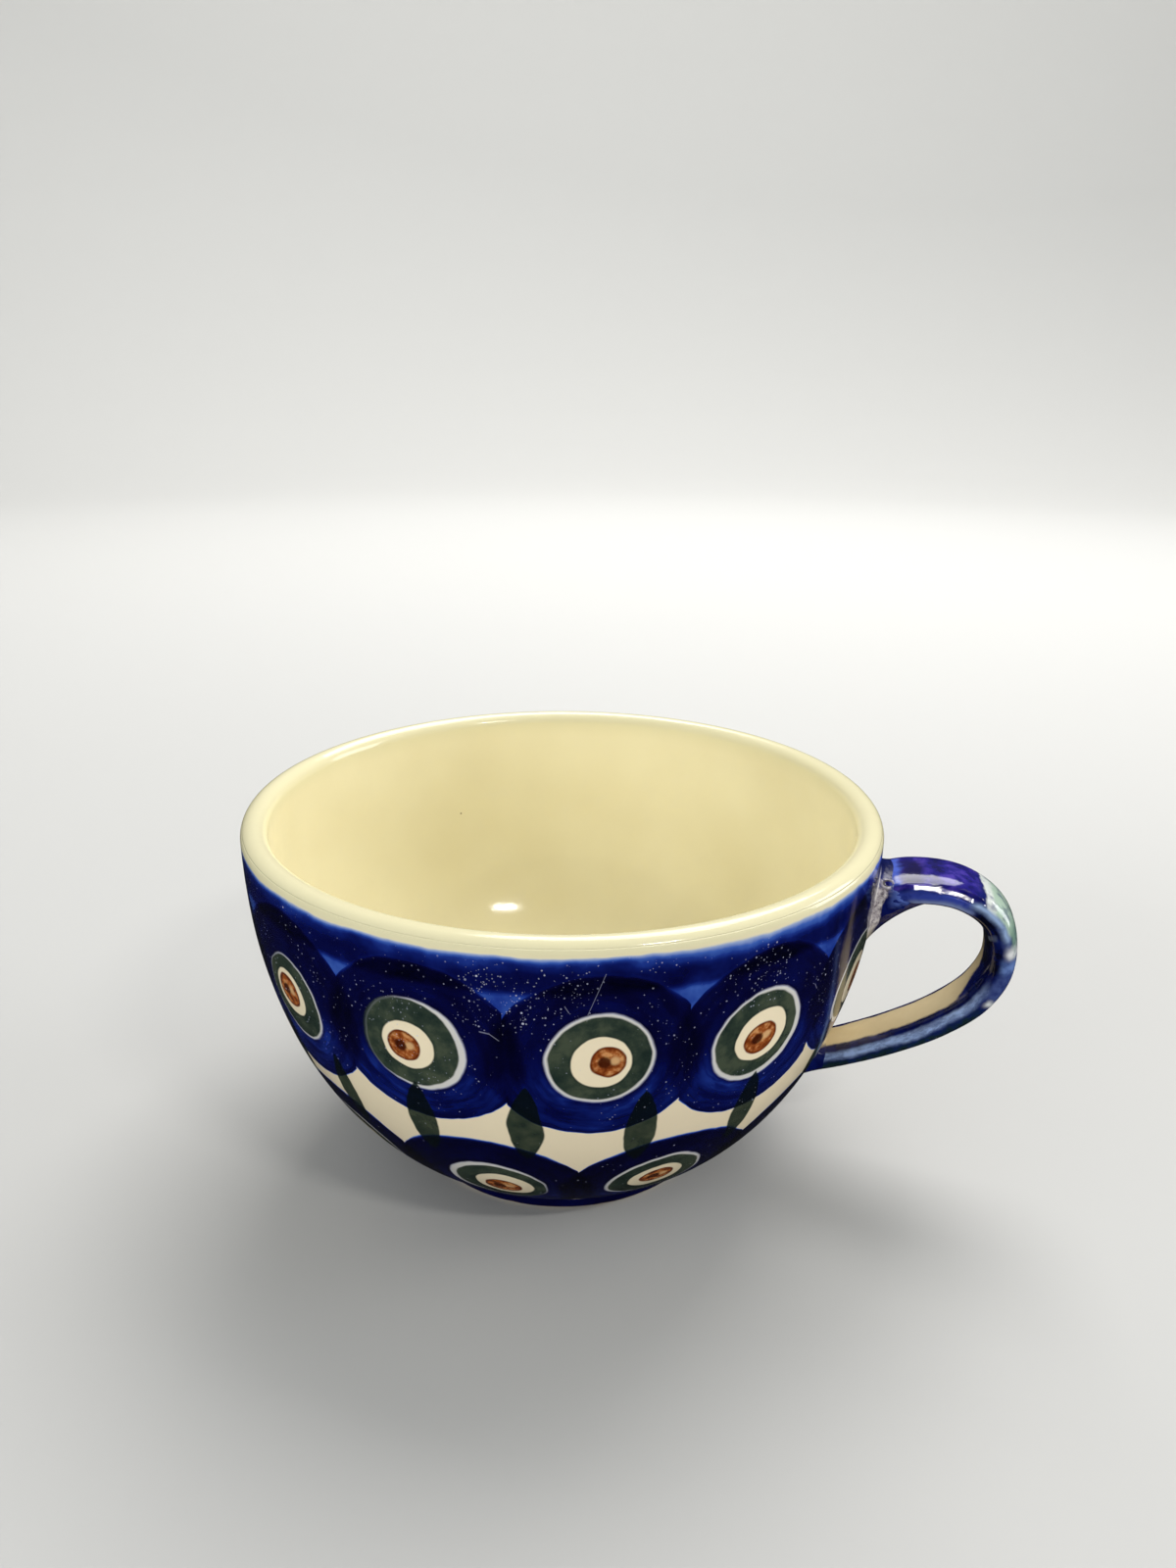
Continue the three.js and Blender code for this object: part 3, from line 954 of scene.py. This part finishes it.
def handle_paint():
    finish = Finish("handle_paint_under_glaze", 0.09)
    place = finish.place
    around, along = finish.uv("strap")
    sway = parts(clouds(place, 4 * MM, 51, detail=3.0, rough=0.6, colour=True))
    around = around + (sway[0] - 0.5) * 0.05
    along = along * 100 + (sway[1] - 0.5) * 2.4
    # The strokes run along the strap.
    stroke_place = vector(around * 9.0, along * 0.16, 4.0)
    stroke = clouds(stroke_place, 1.0, 52, detail=4.0, rough=0.6)
    blotch = clouds(place, 2.6 * MM, 59, detail=3.0, rough=0.6)
    pigment = 0.34 + stroke * 0.34 + (blotch - 0.5) * 0.34
    colour = ramp(pigment, COBALT)
    violet = ramp(blotch, [(0.34, tint(16, 10, 72)), (0.50, tint(36, 28, 128)),
                           (0.66, tint(76, 58, 166))])
    top = ease(19.2, 17.0, along) * between(around, 0.0, 0.455, 0.02)
    colour = mix(top * 0.85, colour, violet)
    slanted = along - smallest(largest(around - 0.2, 0.0), 0.3) * 6.0
    for _, (first, last), (start, end), soft, touch in TOUCHES:
        run = slanted if start > SLANT_FROM and last < SLANT_WITHIN else along
        mask = between(around, first, last, 0.010 + soft * 0.016) * between(run, start, end, soft)
        strength = 0.42 + ease(0.34, 0.56, blotch) * 0.54
        colour = mix(mask * strength, colour, touch)
    # A painted reflection: a pale blue streak along the strap's front edge past the bend, broken up by
    # the stroke noise.
    ridge = between(around, 0.515, 0.590, 0.020) * ease(33.0, 41.0, along) * ease(74.0, 66.0, along)
    streak_breakup = 0.40 + ease(0.38, 0.60, clouds(stroke_place, 0.7, 60, detail=4.0, rough=0.7)) * 0.58
    colour = mix(ridge * streak_breakup, colour, tint(160, 186, 230))
    # Past the bend, the inner face is left cream, with a dark line along its far edge.
    near = 0.745 - ease(36.0, 44.0, along) * 0.08
    near_edge = ease(-0.012, 0.012, around - near)
    far_edge = ease(0.835, 0.815, around)
    inner = mix(clouds(place, 9 * MM, 53), tint(224, 208, 168), tint(208, 188, 146))
    inner = mix(clouds(place, 1.6 * MM, 57, detail=3.0) * 0.3, inner, tint(190, 166, 120))
    past_the_bend = ease(23.0, 27.0, along)
    colour = mix(near_edge * far_edge * past_the_bend, colour, inner)
    finish.colour(colour)
    finish.roughness(0.075 + clouds(place, 3 * MM, 58) * 0.06)
    finish.bump(clouds(place, 1.6 * MM, 54, detail=3.0), 0.035 * MM)
    return finish.material


def root_paint(upper):
    """Cobalt over the slip. The upper root has a fold where the glaze crawled and turned grey."""
    finish = Finish("upper_root_glaze" if upper else "lower_root_glaze", 0.12)
    place = finish.place
    around, share = finish.uv("root")
    stroke = clouds(place, 2.4 * MM, 61, detail=3.0)
    colour = ramp(0.34 + stroke * 0.42, COBALT)
    sway = (clouds(place, 1.6 * MM, 63, detail=3.0) - 0.5) * 0.16
    wrinkle = clouds(place, 0.7 * MM, 64, detail=4.0, rough=0.65)
    if upper:
        pale = between(around + sway, 0.36, 0.56, 0.03) * ease(0.42, 0.10, share + sway)
        colour = mix(pale * 0.8, colour, tint(96, 122, 208))
        fold_line = 0.34 + largest(around - 0.42, 0.0) * 2.0
        fold = between(around + sway * 0.4, 0.39, 0.66, 0.02)
        fold = fold * ease(-0.05, 0.05, share + sway - fold_line)
        grey = ramp(wrinkle, [(0.34, tint(92, 84, 92)), (0.48, tint(176, 168, 170)),
                              (0.62, tint(214, 208, 204))])
        colour = mix(fold, colour, grey)
        edge = between(around, 0.28, 0.47, 0.03) * between(share + sway * 0.4, 0.84, 0.99, 0.04)
        colour = mix(edge * 0.8, colour, tint(224, 220, 216))
        x, y, z = parts(place)
        from_pit = distance(distance(x - PIT_POINT.x, y - PIT_POINT.y), z - PIT_POINT.z) / MM
        speck = clouds(place, 1.1 * MM, 65, detail=2.0)
        crust = ease(2.9, 1.2, from_pit + speck * 1.6) * ease(0.40, 0.58, speck)
        colour = mix(crust * 0.8, colour, tint(196, 186, 188))
        colour = mix(ease(0.90, 0.55, from_pit), colour, tint(30, 20, 28))
        cream = between(around + sway, 0.64, 0.86, 0.03) * ease(0.78, 0.95, share)
        colour = mix(cream * 0.8, colour, tint(206, 196, 176))
    else:
        cream = between(around + sway * 0.4, 0.68, 0.85, 0.02)
        colour = mix(cream, colour, tint(216, 198, 156))
    finish.colour(colour)
    finish.bump(wrinkle, (0.12 if upper else 0.05) * MM)
    return finish.material


# Bare clay, by how coarse its grain is.
CLAY = [(0.32, tint(172, 148, 116)), (0.50, tint(196, 174, 142)), (0.70, tint(212, 194, 164))]


def foot_paint():
    """The ring's outside wears the dark glaze down to where it was wiped off for the kiln."""
    finish = Finish("foot_wiped_at_the_edge", 0.75)
    place = finish.place
    _, radius = finish.bowl_place()
    _, _, z = parts(place)
    wiped = z / MM + (clouds(place, 5 * MM, 81) - 0.5) * 0.8
    glazed = ease(0.25, 0.55, wiped) * ease(FOOT_OUTER / MM - 1.3, FOOT_OUTER / MM - 0.9, radius)
    grain = clouds(place, 0.5 * MM, 71, detail=4.0, rough=0.65)
    clay = ramp(grain, CLAY)
    cobalt = ramp(0.58 + clouds(place, 4 * MM, 82, detail=3.0) * 0.3, COBALT)
    finish.colour(mix(glazed, clay, cobalt))
    finish.roughness(0.74 - glazed * 0.62)
    finish.bump(grain * (1.0 - glazed), 0.08 * MM)
    return finish.material


def bare_clay():
    finish = Finish("bare_fired_clay", 0.75)
    place = finish.place
    _, radius = finish.bowl_place()
    grain = clouds(place, 0.5 * MM, 71, detail=4.0, rough=0.65)
    rings = clouds(vector(radius * 0.9, 0.0, 3.0), 1.0, 72)
    mottle = clouds(place, 6 * MM, 73, detail=3.0)
    colour = ramp(grain * 0.5 + mottle * 0.5, CLAY)
    # The wall's dark glaze runs over the narrow step outside the foot ring.
    glazed = ease(FOOT_OUTER / MM - 0.3, FOOT_OUTER / MM, radius)
    finish.colour(mix(glazed, colour, ramp(0.66 + mottle * 0.2, COBALT)))
    finish.roughness(lerp(0.68 + grain * 0.2, 0.12, glazed))
    finish.bump(grain * 0.5 + rings * 0.5, 0.10 * MM)
    return finish.material


for piece, material in (
    (outer_coat, outer_paint()),
    (lining_coat, lining_paint()),
    (handle, handle_paint()),
    (upper_root, root_paint(True)),
    (lower_root, root_paint(False)),
    (clay_body, bare_clay()),
    (foot, foot_paint()),
):
    piece.data.materials.append(material)


# ---- camera: a phone held in front of the cup, looking down at it ----
ASPECT = 1200 / 1600
SENSOR, LENS = 36.0, 27.045  # the sensor's height and the focal length, in mm
CAMERA_TURN = math.radians(12)
CAMERA_PITCH = math.radians(20.04)
CAMERA_ROLL = math.radians(0.54)
CAMERA_PLACE = Vector((4.12, -189.94, 73.88)) * MM  # from the lip's centre, before the turn


def make_camera():
    data = bpy.data.cameras.new("camera")
    data.sensor_fit = "VERTICAL"
    data.sensor_height = SENSOR
    data.sensor_width = SENSOR * ASPECT
    data.lens = LENS
    data.clip_start = 5 * MM
    data.clip_end = 20
    camera = bpy.data.objects.new("camera", data)
    bpy.context.scene.collection.objects.link(camera)
    turned = Matrix.Rotation(CAMERA_TURN, 3, "Z")
    pitched = Matrix.Rotation(math.pi / 2 - CAMERA_PITCH, 3, "X")
    rolled = Matrix.Rotation(CAMERA_ROLL, 3, "Z")
    camera.matrix_world = (turned @ pitched @ rolled).to_4x4()
    camera.location = Vector((AXIS, 0, LIP_Z)) + turned @ CAMERA_PLACE
    bpy.context.scene.camera = camera


make_camera()


# ---- stage ----
def make_stage():
    """A pale floor that curves up into a pale surround."""
    flat, bend, height = 1.1, 0.9, 1.6
    profile = [(0.0, 0.0), (flat, 0.0)]
    for i in range(1, 13):
        angle = math.radians(90 * i / 12)
        profile.append((flat + bend * math.sin(angle), bend * (1 - math.cos(angle))))
    profile.append((flat + bend, height))
    vertices, faces = [(0, 0, 0)], []
    count = 96
    for radius, z in profile[1:]:
        for j in range(count):
            turn = 2 * math.pi * j / count
            vertices.append((radius * math.cos(turn), radius * math.sin(turn), z))
    for j in range(count):
        faces.append((0, 1 + j, 1 + (j + 1) % count))
    for i in range(len(profile) - 2):
        for j in range(count):
            k = (j + 1) % count
            a, b = 1 + i * count, 1 + (i + 1) * count
            faces.append((a + j, b + j, b + k, a + k))
    mesh = bpy.data.meshes.new("stage")
    mesh.from_pydata(vertices, [], faces)
    mesh.shade_smooth()
    stage = bpy.data.objects.new("stage", mesh)
    bpy.context.scene.collection.objects.link(stage)
    floor = Finish("stage_floor", 0.8)
    floor.colour((0.53, 0.53, 0.515))
    mesh.materials.append(floor.material)
    stage.visible_glossy = False


def make_lamp(name, azimuth, elevation, away, width, height, watts, colour, roll=0.0, mirrored=True):
    """A soft rectangular lamp in a direction from the cup, turned to face it."""
    data = bpy.data.lights.new(name, "AREA")
    data.shape = "RECTANGLE"
    data.size = width
    data.size_y = height
    data.energy = watts
    data.color = colour
    lamp = bpy.data.objects.new(name, data)
    bpy.context.scene.collection.objects.link(lamp)
    back = direction_of(azimuth, elevation)
    lamp.location = Vector((AXIS, 0, LIP_Z / 2)) + back * away
    lamp.visible_glossy = mirrored
    lamp.rotation_mode = "QUATERNION"
    facing = (-back).to_track_quat("-Z", "Y")
    lamp.rotation_quaternion = facing @ Quaternion((0, 0, 1), math.radians(roll))
    return lamp


def make_world(tree):
    """Even light from all round. Reflections see a darker room, and a floor like dark cloth."""
    background = tree.nodes["Background"]
    background.inputs["Color"].default_value = (0.94, 0.97, 1.0, 1)
    height = parts(Field(tree, new_node(tree, "TexCoord").outputs["Generated"]))[2]
    mirrored = Field(tree, new_node(tree, "LightPath").outputs["Is Glossy Ray"])
    reflected = 0.012 + ease(-0.05, 0.5, height) * 0.11
    even = 0.45
    feed(background.inputs["Strength"], mirrored * (reflected - even) + even)


make_stage()
make_lamp("window_strip", 49.3, 42.8, 0.9, 0.165, 0.030, 1.5, (1.0, 0.98, 0.94), roll=-21)
make_lamp("overhead", 172, 59, 1.2, 0.85, 0.72, 12.6, (1.0, 0.98, 0.96))
make_lamp("side_light", 112, 14, 1.3, 0.55, 0.60, 6.0, (0.97, 0.98, 1.0))
make_lamp("left_window", -46, 20, 1.2, 0.90, 0.45, 5.0, (0.94, 0.97, 1.0), mirrored=False)
make_lamp("front_fill", 28, 8, 1.2, 0.90, 0.40, 2.4, (0.98, 0.98, 1.0), mirrored=False)
# This one faces away from the cup and lights the surround behind it.
backdrop_light = make_lamp("backdrop_light", 192, 58, 1.3, 1.2, 0.6, 15.0, (1.0, 0.99, 0.97))
backdrop_light.rotation_quaternion = direction_of(192, -34).to_track_quat("-Z", "Y")

world = bpy.data.worlds.new("studio")
world.use_nodes = True
make_world(world.node_tree)
bpy.context.scene.world = world
bpy.context.scene.view_settings.view_transform = "Standard"
